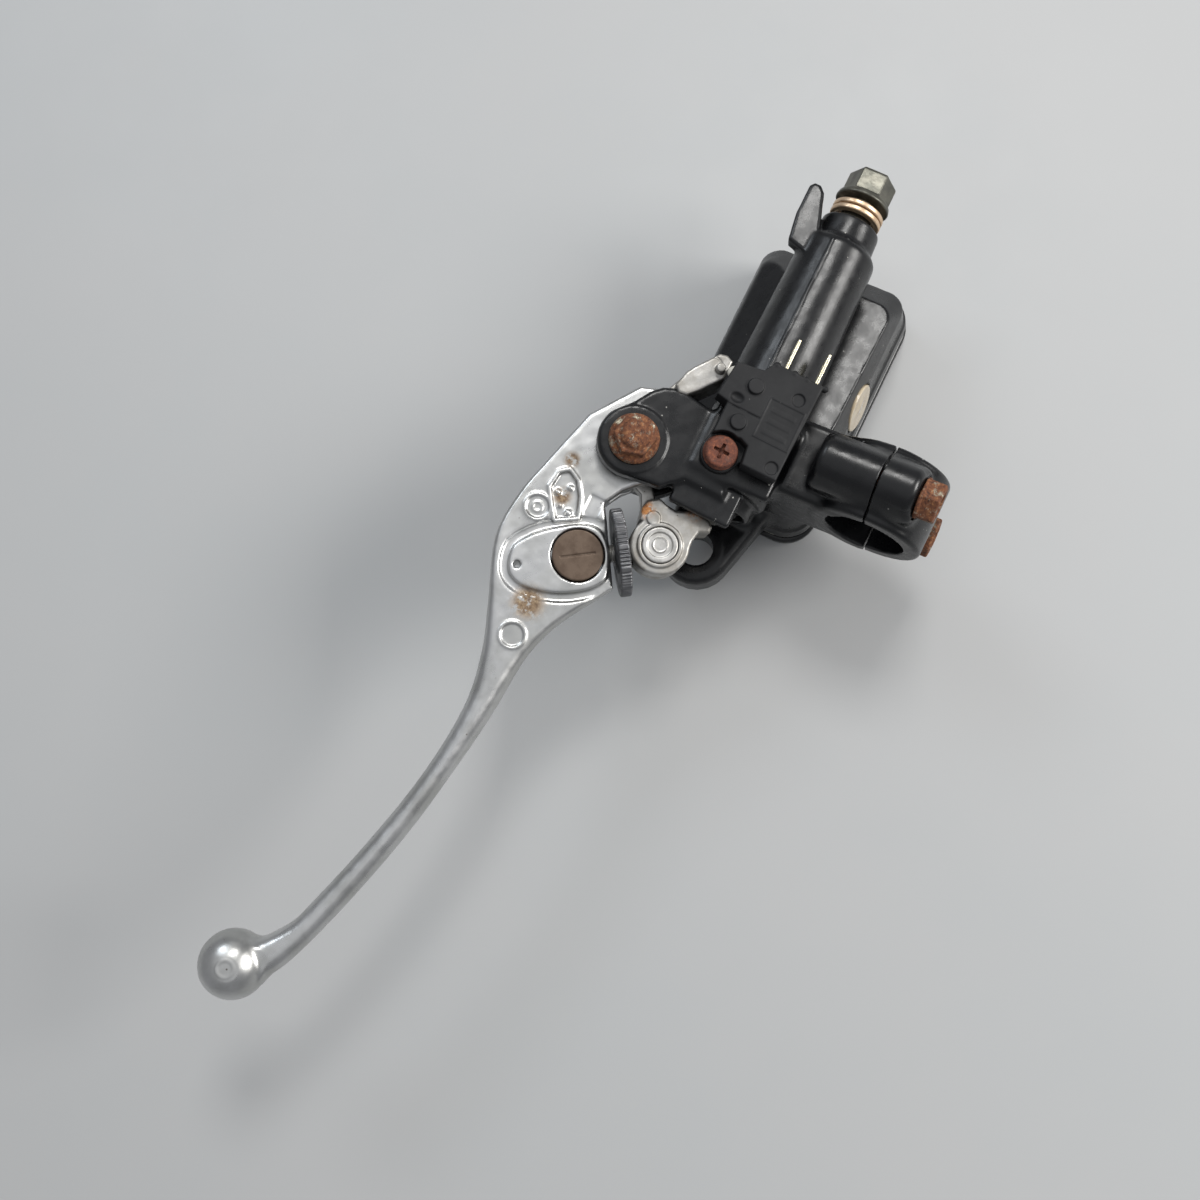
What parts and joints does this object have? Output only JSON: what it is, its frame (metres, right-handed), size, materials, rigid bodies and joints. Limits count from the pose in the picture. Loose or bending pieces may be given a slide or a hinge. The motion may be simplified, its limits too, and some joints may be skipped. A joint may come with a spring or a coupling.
{
  "type": "brake master cylinder",
  "caption": "Handlebar-clamped front brake master cylinder with rectangular fluid reservoir and span-adjustable lever.",
  "frame": {"origin": "middle of the bounding box in X and Y, on the surface that the reservoir lid lies on", "axes": "+X along the cylinder towards the hose port, +Z from the reservoir lid towards the cylinder, so the part lies on its lid and the lever reaches to -X; in use on a motorcycle it is turned over, lid up"},
  "size_m": [0.277, 0.1254, 0.0665],
  "materials": {
    "black_paint": "satin black paint on cast aluminium, worn at the edges",
    "cast_aluminium": "polished cast aluminium with dull pores and grime",
    "machined_aluminium": "machined aluminium",
    "rusty_steel": "plated steel with surface rust",
    "dark_steel": "dull grey-olive plated steel",
    "bright_steel": "bright steel",
    "copper": "soft copper, dulled",
    "bronze": "browned bronze",
    "dial_steel": "dark knurled steel",
    "switch_plastic": "matte dark grey moulded plastic",
    "pale_plastic": "pale moulded plastic",
    "rubber": "black moulded rubber",
    "aged_clear_plastic": "clear plastic yellowed by brake fluid",
    "tinned_brass": "tinned brass, bright"
  },
  "bodies": {
    "body": {"master_body": "black_paint", "clamp_cap": "black_paint", "reservoir_lid": "black_paint", "diaphragm_plate": "pale_plastic", "diaphragm": "rubber", "lid_screw_1": "dark_steel", "lid_screw_2": "dark_steel", "sight_glass": "aged_clear_plastic", "sight_glass_seal": "rubber", "reservoir_baffle": "bright_steel", "return_spring": "bright_steel", "piston_circlip": "bright_steel", "piston_washer": "bright_steel", "dust_boot": "rubber", "crush_washer_inner": "copper", "crush_washer_outer": "copper", "banjo_bolt": "dark_steel", "clamp_bolt_lower": "rusty_steel", "clamp_bolt_upper": "rusty_steel", "pivot_bolt": "rusty_steel", "pivot_nut": "rusty_steel", "pivot_bush": "bronze", "brake_switch_housing": "switch_plastic", "switch_terminal_1": "tinned_brass", "switch_terminal_2": "tinned_brass", "switch_screw": "rusty_steel"},
    "knocker": {"knocker": "cast_aluminium"},
    "lever": {"lever_blade": "cast_aluminium"},
    "barrel": {"adjuster_barrel": "bronze"},
    "pin": {"knocker_pin": "bright_steel"},
    "dial": {"adjuster_dial": "dial_steel", "adjuster_screw": "bright_steel"},
    "piston": {"piston": "machined_aluminium", "primary_cup": "rubber", "secondary_cup": "rubber"},
    "plunger": {"switch_plunger": "pale_plastic"}
  },
  "joints": [
    {"name": "lever_pull", "type": "hinge", "parent": "body", "child": "knocker", "pos_m": [0.0381, 0.02229, 0.04757], "axis": [0, -0.1908, 0.9816], "range_deg": [0, 16], "stiffness_Nm_per_rad": 1.5, "springref_deg": -20.05},
    {"name": "span_adjust", "type": "hinge", "parent": "knocker", "child": "lever", "pos_m": [0.0381, 0.02229, 0.04757], "axis": [0, -0.1908, 0.9816], "range_deg": [-4, 0]},
    {"name": "pin_swivel", "type": "hinge", "parent": "knocker", "child": "pin", "pos_m": [0.0169, 0.00393, 0.044], "axis": [0, -0.1908, 0.9816], "range_deg": [-4, 0.5]},
    {"name": "barrel_swivel", "type": "hinge", "parent": "lever", "child": "barrel", "pos_m": [0.0046, 0.022, 0.04751], "axis": [0, -0.1908, 0.9816], "range_deg": [-0.5, 1]},
    {"name": "dial_turn", "type": "hinge", "parent": "pin", "child": "dial", "pos_m": [0.0169, 0.00393, 0.044], "axis": [0.5557, -0.8161, -0.1586], "range_deg": [-185, 5]},
    {"name": "piston_slide", "type": "slide", "parent": "body", "child": "piston", "axis": [1, 0, 0], "range_m": [0, 0.0085], "deforming": ["return_spring", "dust_boot"]},
    {"name": "switch_plunger_slide", "type": "slide", "parent": "body", "child": "plunger", "axis": [0, 0.9816, 0.1908], "range_m": [0, 0.0016]}
  ],
  "couplings": [
    {"joint": "piston_slide", "follows": "lever_pull", "m_per_rad": 0.0291},
    {"joint": "switch_plunger_slide", "follows": "lever_pull", "m_per_rad": 0.0053},
    {"joint": "pin_swivel", "follows": "span_adjust", "ratio": 0.83},
    {"joint": "barrel_swivel", "follows": "span_adjust", "ratio": -0.17},
    {"joint": "dial_turn", "follows": "span_adjust", "ratio": 45}
  ]
}
